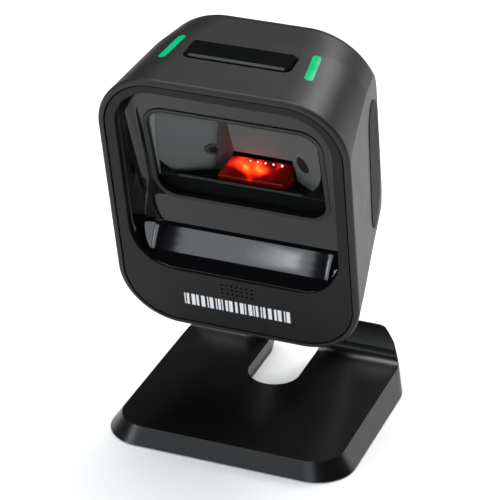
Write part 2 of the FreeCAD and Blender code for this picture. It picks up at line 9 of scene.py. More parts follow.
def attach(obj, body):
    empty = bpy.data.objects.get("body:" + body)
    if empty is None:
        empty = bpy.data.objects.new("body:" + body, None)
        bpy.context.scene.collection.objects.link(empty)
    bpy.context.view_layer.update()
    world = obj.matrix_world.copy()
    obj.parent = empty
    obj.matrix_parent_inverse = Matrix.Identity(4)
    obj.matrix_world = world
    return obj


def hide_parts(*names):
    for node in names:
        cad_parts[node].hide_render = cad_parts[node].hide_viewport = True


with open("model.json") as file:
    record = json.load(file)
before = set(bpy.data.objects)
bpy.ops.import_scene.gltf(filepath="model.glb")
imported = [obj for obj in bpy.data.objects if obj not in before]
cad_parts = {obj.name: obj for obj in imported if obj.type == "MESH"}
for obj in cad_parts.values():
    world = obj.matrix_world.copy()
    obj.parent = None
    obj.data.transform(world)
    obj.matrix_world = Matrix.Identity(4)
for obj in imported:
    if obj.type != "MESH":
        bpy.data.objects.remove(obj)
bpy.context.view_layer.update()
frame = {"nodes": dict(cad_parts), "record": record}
nodes = frame["nodes"]
MM = 0.001


# Hands-free barcode imager: its materials, the pieces finer than its solids, and the studio round it

# Camera, at the height of someone standing at the counter, to the right of the scanner

CAMERA_PLACE = (0.2508, -0.6550, 0.4358)
CAMERA_YAW = 21.27          # degrees to the left of straight back
CAMERA_PITCH = 28.24        # degrees below level
CAMERA_LENS, CAMERA_SENSOR = 175.3, 36.0    # mm
CAMERA_NEAREST = 0.02       # m


def add_camera():
    data = bpy.data.cameras.new("camera")
    data.lens = CAMERA_LENS
    data.sensor_width = CAMERA_SENSOR
    data.clip_start = CAMERA_NEAREST
    camera = bpy.data.objects.new("camera", data)
    bpy.context.scene.collection.objects.link(camera)
    camera.location = CAMERA_PLACE
    camera.rotation_euler = (math.radians(90 - CAMERA_PITCH), 0, math.radians(CAMERA_YAW))
    bpy.context.scene.camera = camera


# Material nodes

def new_material(name):
    """A new material, with its node tree and its shader."""
    material = bpy.data.materials.new(name)
    material.use_nodes = True
    tree = material.node_tree
    shader = next(n for n in tree.nodes if n.type == "BSDF_PRINCIPLED")
    return material, tree, shader


def node(tree, kind, inputs=None, **settings):
    """A node whose inputs are values or other nodes' outputs."""
    made = tree.nodes.new(kind)
    for name, value in settings.items():
        setattr(made, name, value)
    for name, value in (inputs or {}).items():
        socket = made.inputs[name]
        if isinstance(value, bpy.types.NodeSocket):
            tree.links.new(value, socket)
        else:
            socket.default_value = value
    return made


def noise(tree, size, detail=2.0, roughness=0.5):
    """Noise whose features are about size metres across, fixed to the piece."""
    place = node(tree, "ShaderNodeTexCoord").outputs["Object"]
    inputs = {"Vector": place, "Scale": 1.0 / size, "Detail": detail, "Roughness": roughness}
    return node(tree, "ShaderNodeTexNoise", inputs).outputs["Fac"]


def ranged(tree, value, low, high, start=0.3, end=0.7):
    """Low where the value is at start, high where it is at end."""
    inputs = {"Value": value, "From Min": start, "From Max": end, "To Min": low, "To Max": high}
    return node(tree, "ShaderNodeMapRange", inputs).outputs["Result"]


def shades(tree, fac, dark, light):
    """Colour that goes from dark to light with fac."""
    mix = node(tree, "ShaderNodeMix", {"Factor": fac}, data_type="RGBA")
    mix.inputs["A"].default_value = (*dark, 1)
    mix.inputs["B"].default_value = (*light, 1)
    return mix.outputs["Result"]


def scaled(colour, factor):
    return tuple(channel * factor for channel in colour)


def plastic(name, colour, roughness, grain=0.00028, relief=0.000010, specular=0.5, mottle=0.18,
            smudge=0.06):
    """Moulded plastic: spark-eroded grain, faint colour mottle and handling smudges in the gloss."""
    material, tree, shader = new_material(name)
    fine = noise(tree, grain, 2.0, 0.6)
    broad = noise(tree, 0.012, 4.0, 0.6)
    tone = shades(tree, fine, scaled(colour, 1 - mottle), scaled(colour, 1 + mottle))
    tree.links.new(tone, shader.inputs["Base Color"])
    gloss = ranged(tree, broad, roughness - smudge, roughness + smudge)
    tree.links.new(gloss, shader.inputs["Roughness"])
    if relief:
        bump = node(tree, "ShaderNodeBump", {"Height": fine, "Strength": 1.0, "Distance": relief})
        tree.links.new(bump.outputs["Normal"], shader.inputs["Normal"])
    shader.inputs["Specular IOR Level"].default_value = specular
    return material


def metal(name, colour, roughness, streak=0.002):
    """Machined metal with fine turning streaks."""
    material, tree, shader = new_material(name)
    place = node(tree, "ShaderNodeTexCoord").outputs["Object"]
    stretched = node(tree, "ShaderNodeMapping", {"Vector": place, "Scale": (1, 1, 14)})
    lines = node(tree, "ShaderNodeTexNoise", {"Vector": stretched.outputs["Vector"],
                                              "Scale": 1 / streak, "Detail": 3.0})
    tree.links.new(shades(tree, lines.outputs["Fac"], scaled(colour, 0.85), scaled(colour, 1.1)),
                   shader.inputs["Base Color"])
    tree.links.new(ranged(tree, lines.outputs["Fac"], roughness - 0.08, roughness + 0.1),
                   shader.inputs["Roughness"])
    shader.inputs["Metallic"].default_value = 1.0
    return material


def glow(name, colour, strength, roughness=0.3, spread=0.006, specular=0.5):
    """Lit translucent plastic, brighter in some places than in others."""
    material, tree, shader = new_material(name)
    broad = noise(tree, spread, 2.0)
    tree.links.new(shades(tree, broad, scaled(colour, 0.7), colour), shader.inputs["Base Color"])
    tree.links.new(shades(tree, broad, scaled(colour, 0.6), colour), shader.inputs["Emission Color"])
    shader.inputs["Emission Strength"].default_value = strength
    shader.inputs["Specular IOR Level"].default_value = specular
    tree.links.new(ranged(tree, broad, roughness - 0.05, roughness + 0.05), shader.inputs["Roughness"])
    return material


def glass(name, tint, roughness=0.02, clear_until=0.45):
    """Thin pane: it passes tinted light straight through and mirrors by its angle."""
    material, tree, shader = new_material(name)
    tree.nodes.remove(shader)
    haze = noise(tree, 0.02, 3.0)
    clear = node(tree, "ShaderNodeBsdfTransparent")
    tree.links.new(shades(tree, haze, scaled(tint, 0.94), tint), clear.inputs["Color"])
    mirror = node(tree, "ShaderNodeBsdfGlossy", {"Color": (1, 1, 1, 1)})
    tree.links.new(ranged(tree, haze, roughness, roughness + 0.02), mirror.inputs["Roughness"])
    edge_on = node(tree, "ShaderNodeLayerWeight", {"Blend": 0.5}).outputs["Facing"]
    slant = ranged(tree, edge_on, 0.0, 1.0, clear_until, 1.0)
    steep = node(tree, "ShaderNodeMath", {0: slant, 1: 3.0}, operation="POWER").outputs["Value"]
    both = node(tree, "ShaderNodeMixShader", {"Fac": steep})
    tree.links.new(clear.outputs[0], both.inputs[1])
    tree.links.new(mirror.outputs[0], both.inputs[2])
    output = next(n for n in tree.nodes if n.type == "OUTPUT_MATERIAL")
    tree.links.new(both.outputs[0], output.inputs["Surface"])
    return material


# One material for each slot of the record, and three more: mask_print, wedge_plastic and side_pad
MATERIALS = {
    "stand_plastic": plastic("stand_plastic", (0.0035, 0.0035, 0.0038), 0.30, smudge=0.02),
    "cover_plastic": plastic("cover_plastic", (0.012, 0.012, 0.013), 0.55),
    "ballast_steel": metal("ballast_steel", (0.45, 0.45, 0.46), 0.35),
    "foot_rubber": plastic("foot_rubber", (0.012, 0.012, 0.012), 0.75, relief=0.00002),
    "screw_steel": metal("screw_steel", (0.2, 0.2, 0.21), 0.35),
    "insert_brass": metal("insert_brass", (0.72, 0.52, 0.22), 0.3),
    "label_film": plastic("label_film", (0.55, 0.56, 0.57), 0.35, relief=0.000002),
    "axle_steel": metal("axle_steel", (0.5, 0.5, 0.52), 0.25),
    "cap_plastic": plastic("cap_plastic", (0.012, 0.012, 0.013), 0.38),
    "housing_plastic": plastic("housing_plastic", (0.015, 0.0145, 0.014), 0.43, specular=0.27,
                               smudge=0.02),
    "bezel_plastic": plastic("bezel_plastic", (0.006, 0.006, 0.0062), 0.42, specular=0.2,
                             smudge=0.02),
    "lining_plastic": plastic("lining_plastic", (0.003, 0.003, 0.0035), 0.035, relief=0.0,
                              smudge=0.005),
    "mask_print": plastic("mask_print", (0.009, 0.009, 0.0095), 0.5, relief=0.0, specular=0.15),
    "gasket_rubber": plastic("gasket_rubber", (0.006, 0.006, 0.006), 0.5),
    "side_pad": plastic("side_pad", (0.010, 0.010, 0.0105), 0.6, relief=0.00002, specular=0.08,
                        smudge=0.03),
    "window_glass": glass("window_glass", (0.73, 0.74, 0.74)),
    "chassis_plastic": plastic("chassis_plastic", (0.34, 0.345, 0.335), 0.5),
    # wedge_plastic is chassis_plastic's grey darkened: painted shade on the tub's wedge; it is also
    # the plain grey of the rail and the camera eye
    "wedge_plastic": plastic("wedge_plastic", (0.13, 0.132, 0.13), 0.5),
    "mirror_glass": plastic("mirror_glass", (0.38, 0.385, 0.38), 0.4, relief=0.000002, specular=0.1,
                            mottle=0.03),
    "camera_plastic": plastic("camera_plastic", (0.02, 0.02, 0.02), 0.4),
    "lens_glass": plastic("lens_glass", (0.02, 0.015, 0.03), 0.1, relief=0.0),
    "red_diffuser": glow("red_diffuser", (1.0, 0.02, 0.01), 1.2),
    "board_laminate": plastic("board_laminate", (0.01, 0.10, 0.04), 0.35),
    "socket_plastic": plastic("socket_plastic", (0.008, 0.008, 0.008), 0.3),
    "contact_gold": metal("contact_gold", (0.8, 0.55, 0.2), 0.25),
    "speaker_plastic": plastic("speaker_plastic", (0.01, 0.01, 0.01), 0.6),
    "switch_plastic": plastic("switch_plastic", (0.02, 0.02, 0.02), 0.5),
    "trigger_plastic": plastic("trigger_plastic", (0.004, 0.0045, 0.0045), 0.12, relief=0.0,
                               smudge=0.03),
    "light_pipe": glow("light_pipe", (0.001, 0.33, 0.13), 0.38, 0.2, specular=0.45),
    "knuckle_metal": plastic("knuckle_metal", (0.02, 0.02, 0.021), 0.45),
    "washer_fibre": plastic("washer_fibre", (0.2, 0.13, 0.08), 0.7),
}


def dress_nodes():
    """Each CAD node takes the material of its slot in the record."""
    for part in frame["record"]["subparts"]:
        mesh = nodes[part["node"]].data
        mesh.materials.clear()
        mesh.materials.append(MATERIALS[part["material_slot"]])


# The head's own frame: x across, d back from the face, h up from the face's lower edge, in mm

SOCKET_IN_HEAD = Vector((0, 46.6, 32.5))    # the io_socket mount


def head_matrix():
    """From the head's own frame to the row frame, read off the socket's mount."""
    socket = next(m for m in frame["record"]["mounts"] if m["name"] == "io_socket")
    back = Vector(socket["axis"]).normalized()
    right = Vector((1, 0, 0))
    turn = Matrix((right, back, right.cross(back))).transposed()
    foot = Vector(socket["pos_m"]) - turn @ (SOCKET_IN_HEAD * MM)
    return Matrix.Translation(foot) @ turn.to_4x4() @ Matrix.Scale(MM, 4)


HEAD = head_matrix()


# Mesh pieces

SAME_POINT = 1e-7          # m


def piece(name, verts, faces, material):
    """A piece that rides on the head, from vertices in the head's frame, faces turned outwards."""
    mesh = bpy.data.meshes.new(name)
    mesh.from_pydata([HEAD @ Vector(v) for v in verts], [], faces)
    tidy = bmesh.new()
    tidy.from_mesh(mesh)
    bmesh.ops.remove_doubles(tidy, verts=tidy.verts, dist=SAME_POINT)
    bmesh.ops.recalc_face_normals(tidy, faces=tidy.faces)
    tidy.to_mesh(mesh)
    tidy.free()
    made = bpy.data.objects.new(name, mesh)
    bpy.context.scene.collection.objects.link(made)
    mesh.materials.append(material)
    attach(made, "head")
    return made


def smooth(made, degrees=35):
    """Smooth shading, with edges sharper than the angle kept crisp."""
    made.data.polygons.foreach_set("use_smooth", [True] * len(made.data.polygons))
    made.data.set_sharp_from_angle(angle=math.radians(degrees))


def thicken(made, thickness, offset=1.0):
    """Give a surface a wall: behind it for an offset of 1, half on either side for 0."""
    solid = made.modifiers.new("thickness", "SOLIDIFY")
    solid.thickness = thickness * MM
    solid.offset = offset
    solid.use_even_offset = True


def soften(made, width, segments=3, degrees=30):
    """Round the crisp edges."""
    bevel = made.modifiers.new("rounded_edges", "BEVEL")
    bevel.width = width * MM
    bevel.segments = segments
    bevel.limit_method = "ANGLE"
    bevel.angle_limit = math.radians(degrees)
    bevel.harden_normals = False


CORNER_STEPS, SIDE_STEPS = 18, 10       # points along each round corner and each straight side
BOX_FACES = ((0, 1, 2, 3), (4, 5, 6, 7), (0, 1, 5, 4), (1, 2, 6, 5), (2, 3, 7, 6), (3, 0, 4, 7))


def outline(half, low, high, r_low, r_high):
    """Round-cornered outline as (x, h) points, anticlockwise from the lower right."""
    corners = [(half - r_low, low + r_low, r_low, -90), (half - r_high, high - r_high, r_high, 0),
               (r_high - half, high - r_high, r_high, 90), (r_low - half, low + r_low, r_low, 180)]
    points = []
    for index, (x, h, radius, start) in enumerate(corners):
        arc = []
        for step in range(CORNER_STEPS + 1):
            angle = math.radians(start + 90 * step / CORNER_STEPS)
            arc.append((x + radius * math.cos(angle), h + radius * math.sin(angle)))
        points += arc
        next_x, next_h, next_radius, next_start = corners[(index + 1) % 4]
        angle = math.radians(next_start)
        end_x, end_h = next_x + next_radius * math.cos(angle), next_h + next_radius * math.sin(angle)
        last_x, last_h = arc[-1]
        points += [(last_x + (end_x - last_x) * step / SIDE_STEPS,
                    last_h + (end_h - last_h) * step / SIDE_STEPS) for step in range(1, SIDE_STEPS)]
    return points


def ring_faces(count, rings, closed=False):
    """Quads between neighbouring rings of count points each."""
    pairs = [(ring, ring + 1) for ring in range(rings - 1)] + ([(rings - 1, 0)] if closed else [])
    return [(a * count + i, a * count + (i + 1) % count, b * count + (i + 1) % count, b * count + i)
            for a, b in pairs for i in range(count)]


def grid_faces(rows, columns):
    """Quads of a grid of points laid out row by row."""
    width = columns + 1
    return [(row * width + i, row * width + i + 1, (row + 1) * width + i + 1, (row + 1) * width + i)
            for row in range(rows) for i in range(columns)]


# Recess: a polished hollow with a rounded sill under the slanted window and its flat frame

# Outlines are half width, lower and upper edge, radius of the lower and of the upper corners
MOUTH = (35.46, 23.24, 92.66, 15.0, 14.0)
MOUTH_DEPTH = 2.8          # the mouth's rim, behind the bezel
APERTURE = (30.0, 43.9, 82.6, 8.0, 8.0)
WINDOW_BACK, WINDOW_SLOPE = 16.8, math.tan(math.radians(6.6))
SILL_FOOT = 0.9            # the sill's foot stands in the bezel's opening, just behind its face
CREASE = 34.3              # height of the crease between the sill and the flat frame above it
FRAME_SLOPE = 0.12         # how the frame's depth changes with height below the window
SILL_TURN = (math.radians(27.5), math.radians(54.5))    # its lean back, at its foot and its crest
CURL_REACH, CURL_RADIUS = 6.2, 14.0      # the sill curls forward towards its ends
WALL_REACH = (0.4, 4.0)    # width of the side wall's sweep, at the crease and beside the window
WALL_RISE = 16.0           # height over which it grows from one to the other
ROOF_REACH = 5.5
LINING_WALL = 1.2
LIP = 0.7                  # radius of the frame's rounded edge round the glass
SILL_ROWS, SILL_COLUMNS = 30, 72
WALL_STEPS, TURN_STEPS, ROOF_STEPS = 44, 24, 30         # points along the frame's outer edge
FRAME_RINGS, LIP_RINGS = 36, 4
RING_CROWDING = 1.7        # rings lie closest together at the outer edge
CREASE_ANGLE = 24          # degrees; sharper edges of the recess stay crisp
GLASS_GAP = LIP + 0.35     # from the aperture's edge to the pane
GLASS_BACK = 1.7           # the pane's rear face, behind the window's plane


def part_way(start, end, share):
    return start + (end - start) * share


def window_depth(h):
    """Depth of the window's plane at a height."""
    return WINDOW_BACK - WINDOW_SLOPE * h


def frame_depth(h):
    """Depth of the flat frame: in the window's plane beside the glass, less steep below it."""
    foot = APERTURE[1]
    return window_depth(h) if h > foot else window_depth(foot) - FRAME_SLOPE * (foot - h)


def mouth_half(h):
    """Half width of the mouth at a height."""
    half, low, high, r_low, r_high = MOUTH
    below, above = max(low + r_low - h, 0.0), max(h - high + r_high, 0.0)
    return (half - r_low + math.sqrt(max(r_low ** 2 - below ** 2, 0.0)) if below
            else half - r_high + math.sqrt(max(r_high ** 2 - above ** 2, 0.0)))


def sweep(distance, reach, height):
    """How far a surface has come forward at a distance from the side: a quarter ellipse."""
    inner = (reach - min(max(distance, 0.0), reach)) / reach
    return height * (1 - math.sqrt(1 - inner * inner))


def sill_depth(x, h):
    """Depth of the rounded sill, with its curled ends and the walls that sweep into it."""
    low = MOUTH[1]
    start, end = SILL_TURN
    share = min(max((h - low) / (CREASE - low), 0.0), 1.0)
    lean = math.asin(part_way(math.sin(start), math.sin(end), share))
    back = (math.cos(start) - math.cos(lean)) / (math.cos(start) - math.cos(end))
    depth = part_way(SILL_FOOT, frame_depth(CREASE), back)
    curl = max(abs(x) - MOUTH[0] + CURL_REACH, 0.0)
    depth -= curl ** 2 / (2 * CURL_RADIUS)
    front = part_way(SILL_FOOT, MOUTH_DEPTH, share ** 2)
    return max(depth - sweep(mouth_half(h) - abs(x), WALL_REACH[0], depth - front), front)


def hollow_depth(x, h):
    """Depth of the flat frame, with the walls and the roof that sweep into it."""
    depth = frame_depth(h)
    reach = part_way(*WALL_REACH, min((h - CREASE) / WALL_RISE, 1.0))
    rise = depth - MOUTH_DEPTH
    wall = sweep(mouth_half(h) - abs(x), reach, rise)
    return depth - max(wall, sweep(MOUTH[2] - h, ROOF_REACH, rise))


def nearest_on_aperture(x, h):
    """Point of the aperture's edge that lies nearest to a point outside it."""
    half, low, high, r_low, r_high = APERTURE
    radius = r_low if h < (low + high) / 2 else r_high
    centre_x = min(max(x, radius - half), half - radius)
    centre_h = min(max(h, low + r_low), high - r_high)
    apart = math.hypot(x - centre_x, h - centre_h)
    return centre_x + (x - centre_x) * radius / apart, centre_h + (h - centre_h) * radius / apart


def frame_rim():
    """Frame's outer edge, anticlockwise: the crease from the left, then the mouth above it."""
    reach = mouth_half(CREASE)
    crease = [(reach * math.sin(math.pi / 2 * (2 * step / SILL_COLUMNS - 1)), CREASE)
              for step in range(SILL_COLUMNS)]
    half, _, high, _, r_high = MOUTH
    heights = [part_way(CREASE, high - r_high, step / WALL_STEPS) for step in range(WALL_STEPS)]
    right = [(mouth_half(h), h) for h in heights]
    turns = [math.radians(90 * step / TURN_STEPS) for step in range(TURN_STEPS)]
    right += [(half - r_high + r_high * math.cos(turn), high - r_high + r_high * math.sin(turn))
              for turn in turns]
    roof = [(part_way(half - r_high, r_high - half, step / ROOF_STEPS), high)
            for step in range(ROOF_STEPS + 1)]
    return crease + right + roof + [(-x, h) for x, h in reversed(right[1:])]


def recess():
    """Sill as rows of points from foot to crest, then rings of points from the crest to the glass."""
    half_columns = SILL_COLUMNS // 2
    verts = []
    for row in range(SILL_ROWS + 1):
        h = part_way(MOUTH[1], CREASE, row / SILL_ROWS)
        reach = mouth_half(h)
        for column in range(SILL_COLUMNS + 1):
            x = reach * math.sin(math.pi / 2 * (column / half_columns - 1))
            verts.append((x, sill_depth(x, h), h))
    faces = grid_faces(SILL_ROWS, SILL_COLUMNS)
    crest = SILL_ROWS * (SILL_COLUMNS + 1)
    rim = frame_rim()
    count, first = len(rim), len(verts)
    for ring in range(FRAME_RINGS + 1):
        share = (ring / FRAME_RINGS) ** RING_CROWDING
        for x, h in rim:
            x1, h1 = nearest_on_aperture(x, h)
            x1, h1 = part_way(x, x1, share), part_way(h, h1, share)
            verts.append((x1, hollow_depth(x1, h1), h1))
    for ring in range(1, LIP_RINGS + 1):
        turn = math.radians(90 * ring / LIP_RINGS)
        for x, h in rim:
            x1, h1 = nearest_on_aperture(x, h)
            apart = math.hypot(x1 - x, h1 - h)
            inward = LIP * math.sin(turn)
            x1, h1 = x1 + (x1 - x) / apart * inward, h1 + (h1 - h) / apart * inward
            verts.append((x1, hollow_depth(x1, h1) + LIP * (1 - math.cos(turn)), h1))
    rings = FRAME_RINGS + 1 + LIP_RINGS
    faces += [tuple(first + corner for corner in face) for face in ring_faces(count, rings)]
    faces += [(crest + i, crest + i + 1, first + i + 1, first + i) for i in range(SILL_COLUMNS)]
    made = piece("recess_funnel", verts, faces, MATERIALS["lining_plastic"])
    smooth(made, CREASE_ANGLE)
    thicken(made, LINING_WALL)
    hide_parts("recess_lining")


def window():
    """Pane with rounded rims, a little proud of the frame round it."""
    half, low, high, r_low, r_high = APERTURE
    gap = GLASS_GAP
    rims = [(3.2, GLASS_BACK), (gap, GLASS_BACK), (gap, 0.3), (gap + 0.15, 0.0), (gap + 0.5, -0.2),
            (gap + 1.0, -0.25)]
    verts = []
    for inset, back in rims:
        rim = outline(half - inset, low + inset, high - inset, r_low - inset, r_high - inset)
        verts += [(x, window_depth(h) + back, h) for x, h in rim]
    count = len(rim)
    faces = ring_faces(count, len(rims))
    faces.append(tuple(range(count)))
    faces.append(tuple(range((len(rims) - 1) * count, len(rims) * count)))
    made = piece("window_pane", verts, faces, MATERIALS["window_glass"])
    smooth(made, 50)
    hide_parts("scan_window")


# What shows through the window

def panel(name, corners, material):
    """Flat panel of the tub between its corners."""
    made = piece(name, corners, [tuple(range(len(corners)))], material)
    thicken(made, TUB_WALL, 0.0)
    return made


def curved_panel(name, corners, material, steps=10):
    """Panel between four corners that don't lie in one plane."""
    a, b, c, d = (Vector(corner) for corner in corners)
    shares = [step / steps for step in range(steps + 1)]
    verts = [a.lerp(b, u).lerp(d.lerp(c, u), v) for v in shares for u in shares]
    made = piece(name, verts, grid_faces(steps, steps), material)
    smooth(made)
    thicken(made, TUB_WALL, 0.0)
    return made


# Corners of the tub as x, d, h: its floor, the mirror standing on it, and the cheeks' front edges
TUB_WALL = 0.6
FLOOR_FRONT, FLOOR_H, TUB_HALF = 12.6, 51.6, 29.6
FLOOR_LEFT, FLOOR_BACK = (-12.0, 19.0, FLOOR_H), (-8.0, 20.6, FLOOR_H)
FLOOR_RIGHT = (16.0, 20.4, FLOOR_H)
MIRROR_FOOT_LEFT, MIRROR_FOOT_RIGHT = (-5.2, 20.0, 60.2), (14.8, 20.0, 60.1)
MIRROR_TOP_LEFT, MIRROR_TOP_RIGHT = (-2.4, 10.0, 81.7), (27.0, 10.0, 82.0)
CHEEK_TOP = (-5.0, 11.0, 80.0)
LEFT_TOP, LEFT_FOOT = (-TUB_HALF, 8.9, 82.4), (-TUB_HALF, 12.4, FLOOR_H)
RIGHT_TOP, RIGHT_FOOT = (TUB_HALF, 9.2, 79.0), (TUB_HALF, 12.4, FLOOR_H)


def optics_tub():
    """Folded grey tub behind the window: two cheeks, a wedge and the tilted mirror at its back."""
    grey, slot = MATERIALS["chassis_plastic"], "chassis_plastic"
    left = curved_panel("tub_left", [LEFT_TOP, CHEEK_TOP, FLOOR_LEFT, LEFT_FOOT], grey)
    # The wedge takes the tub's grey darkened, a painted shade on this fold of the tub
    panel("tub_wedge", [CHEEK_TOP, MIRROR_TOP_LEFT, MIRROR_FOOT_LEFT, FLOOR_BACK, FLOOR_LEFT],
          MATERIALS["wedge_plastic"])
    mirror = panel("tub_mirror",
                   [MIRROR_TOP_LEFT, MIRROR_TOP_RIGHT, MIRROR_FOOT_RIGHT, MIRROR_FOOT_LEFT],
                   MATERIALS["mirror_glass"])
    panel("tub_right", [MIRROR_TOP_RIGHT, RIGHT_TOP, RIGHT_FOOT, FLOOR_RIGHT, MIRROR_FOOT_RIGHT],
          grey)
    # The tub's floor takes the near-black mask_print instead of the tub's grey: painted shade where
    # the floor lies low behind the shelf
    panel("tub_floor", [(-TUB_HALF, FLOOR_FRONT, FLOOR_H), (TUB_HALF, FLOOR_FRONT, FLOOR_H),
                        FLOOR_RIGHT, FLOOR_BACK, FLOOR_LEFT],
          MATERIALS["mask_print"])
    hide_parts("optics_chassis")
    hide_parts("fold_mirror")


def bar(name, profile, ends, material):
    """Bar across the foot of the glass, from a profile of (distance behind the window's plane, h)."""
    verts = [(x, window_depth(h) + back, h) for x in ends for back, h in profile]
    count = len(profile)
    faces = [tuple(range(count)), tuple(range(count, 2 * count))]
    faces += [(i, (i + 1) % count, count + (i + 1) % count, count + i) for i in range(count)]
    return piece(name, verts, faces, material)


SHELF_FRONT, SHELF_DEPTH = 2.2, 3.0
SHELF_FOOT, SHELF_TOP, SHELF_ROUND = 44.5, 52.4, 0.7
SHELF_ENDS, RAIL_ENDS = (-28.6, 28.8), (-27.6, 27.4)
RAIL = [(1.9, 51.95), (1.8, 52.2), (2.1, 52.45), (2.6, 52.5), (2.6, 52.0)]


def shelf():
    """Dark ledge behind the foot of the glass, rounded along its top, and the pale rail on it."""
    turns = [math.radians(90 * step / 8) for step in range(9)]
    rear = SHELF_FRONT + SHELF_DEPTH
    profile = [(SHELF_FRONT, SHELF_FOOT)]
    profile += [(SHELF_FRONT + SHELF_ROUND * (1 - math.cos(turn)),
                 SHELF_TOP - SHELF_ROUND * (1 - math.sin(turn))) for turn in turns]
    profile += [(rear, SHELF_TOP - 0.4), (rear, SHELF_FOOT)]
    smooth(bar("window_shelf", profile, SHELF_ENDS, MATERIALS["mask_print"]), 40)
    bar("window_shelf_rail", RAIL, RAIL_ENDS, MATERIALS["wedge_plastic"])


MASK_OUTER = (29.5, 44.4, 82.1, 7.5, 7.5)
MASK_INNER = (28.3, 51.2, 80.9, 13.0, 6.3)
MASK_SHIFT = -1.0          # the opening sits a little to the left
MASK_BACK = (1.85, 2.15)   # its two faces, behind the window's plane


def mask():
    """Dark printed border behind the glass."""
    outer = outline(*MASK_OUTER)
    inner = [(x + MASK_SHIFT, h) for x, h in outline(*MASK_INNER)]
    front, rear = MASK_BACK
    verts = [(x, window_depth(h) + back, h) for rim, back in
             ((outer, front), (inner, front), (inner, rear), (outer, rear)) for x, h in rim]
    piece("window_mask", verts, ring_faces(len(outer), 4, closed=True), MATERIALS["mask_print"])


def disc(name, centre, normal, radius, depth, material, steps=40):
    """Short turned plug with a rounded rim: rings from its back to its face."""
    normal = Vector(normal).normalized()
    side = normal.orthogonal().normalized()
    other = normal.cross(side)
    rims = [(radius, -depth), (radius, -0.25), (radius - 0.1, -0.08), (radius - 0.3, 0.0),
            (radius * 0.55, -0.1)]
    verts = []
    for reach, height in rims:
        for step in range(steps):
            angle = 2 * math.pi * step / steps
            verts.append(Vector(centre) + (side * math.cos(angle) + other * math.sin(angle)) * reach
                         + normal * height)
    faces = ring_faces(steps, len(rims)) + [tuple(range(steps)),
                                            tuple(range((len(rims) - 1) * steps, len(rims) * steps))]
    smooth(piece(name, verts, faces, material), 40)


LAMP_FRONT = [(-9.2, 14.0, 53.9), (13.4, 14.0, 54.0)]      # corners of the block, left and right
LAMP_REAR = [(14.7, 20.0, 58.4), (-5.6, 20.0, 58.2)]
LAMP_FOOT = [(-9.2, 14.4, 51.9), (13.4, 14.4, 51.9), (14.7, 20.0, 51.9), (-5.6, 20.0, 51.9)]
LAMP_HOT_SPOT = Vector((3.2, 17.2, 56.0))
LAMP_GLOW = 2.1
POINT_PLACES = (11.3, 8.4, 5.7, 3.1, 0.6)       # along x; each lamp is a little smaller than the last
POINT_RADIUS, POINT_SHRINK = 0.42, 0.05


def lamp_material():
    """Red translucent block, glowing orange over its lamps and dark where it is shaded."""
    material, tree, shader = new_material("lamp_block_red")
    place = node(tree, "ShaderNodeTexCoord").outputs["Object"]
    hot = HEAD @ LAMP_HOT_SPOT
    apart = node(tree, "ShaderNodeVectorMath", {0: place, 1: hot}, operation="SUBTRACT")
    flat = node(tree, "ShaderNodeMapping", {"Vector": apart.outputs["Vector"],
                                            "Scale": (0.55, 1.0, 1.0)}).outputs["Vector"]
    far = node(tree, "ShaderNodeVectorMath", {0: flat}, operation="LENGTH").outputs["Value"]
    waves = noise(tree, 0.0055, 1.0, 0.4)
    near = ranged(tree, far, 0.95, 0.0, 0.0002, 0.0066)
    patches = ranged(tree, waves, -0.25, 0.35, 0.35, 0.68)
    heat = node(tree, "ShaderNodeMath", {0: near, 1: patches}, operation="ADD").outputs["Value"]
    ramp = node(tree, "ShaderNodeValToRGB", {"Fac": heat})
    stops = ramp.color_ramp.elements
    stops[0].position, stops[0].color = 0.0, (0.02, 0.0, 0.0, 1)
    stops[1].position, stops[1].color = 1.0, (1.0, 0.62, 0.12, 1)
    for position, colour in ((0.42, (0.10, 0.001, 0.001, 1)), (0.62, (0.9, 0.010, 0.004, 1)),
                             (0.85, (1.0, 0.13, 0.015, 1))):
        stops.new(position).color = colour
    tree.links.new(ramp.outputs["Color"], shader.inputs["Emission Color"])
    shader.inputs["Emission Strength"].default_value = LAMP_GLOW
    tree.links.new(shades(tree, waves, (0.08, 0.001, 0.001), (0.3, 0.004, 0.003)),
                   shader.inputs["Base Color"])
    tree.links.new(ranged(tree, waves, 0.1, 0.25), shader.inputs["Roughness"])
    return material


def lamp_block():
    """Wedge-shaped red block on the tub's floor, and the row of small lamps along its top."""
    made = piece("lamp_block", LAMP_FRONT + LAMP_REAR + LAMP_FOOT, BOX_FACES, lamp_material())
    soften(made, 0.35)
    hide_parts("illumination_lens")
    white = glow("lamp_point", (1.0, 0.85, 0.8), 3.0, spread=0.001)
    for index, x in enumerate(POINT_PLACES):
        radius = POINT_RADIUS - POINT_SHRINK * index
        disc(f"lamp_point_{index}", (x, 19.0, 57.9), (0, -0.6, 0.8), radius, 0.4, white,
             16)


def eyes():
    """Round openings of the camera and the aimer in the tub's cheeks."""
    for name, place, facing, radius, look in (
            ("camera_eye", (-9.75, 15.06, 63.0), (0.33, -0.88, -0.33), 3.0, "wedge_plastic"),
            ("camera_eye_lens", (-9.62, 14.72, 62.88), (0.33, -0.88, -0.33), 1.5, "camera_plastic"),
            ("aimer_eye", (19.0, 16.88, 61.1), (-0.5, -0.86, -0.11), 3.0, "camera_plastic")):
        disc(name, place, facing, radius, 0.5, MATERIALS[look])


# Soft pads let into the flat sides behind the seam

SIDE_HALF, SIDE_TAPER = 41.6, 0.158     # half width at the face, and how fast the sides close in
PAD = (8.0, 29.0, 75.0, 8.0, 8.0)
PAD_PROUD = 0.12
PAD_FRONT, PAD_FRONT_SLOPE = 23.6, 0.091        # the pad's front edge follows the slanted seam
PAD_REAR, PAD_REAR_BOW = 43.8, 0.0105           # its rear edge bows forward above and below
PAD_STRAIGHT = (52, 62)                         # heights between which the rear edge is straight


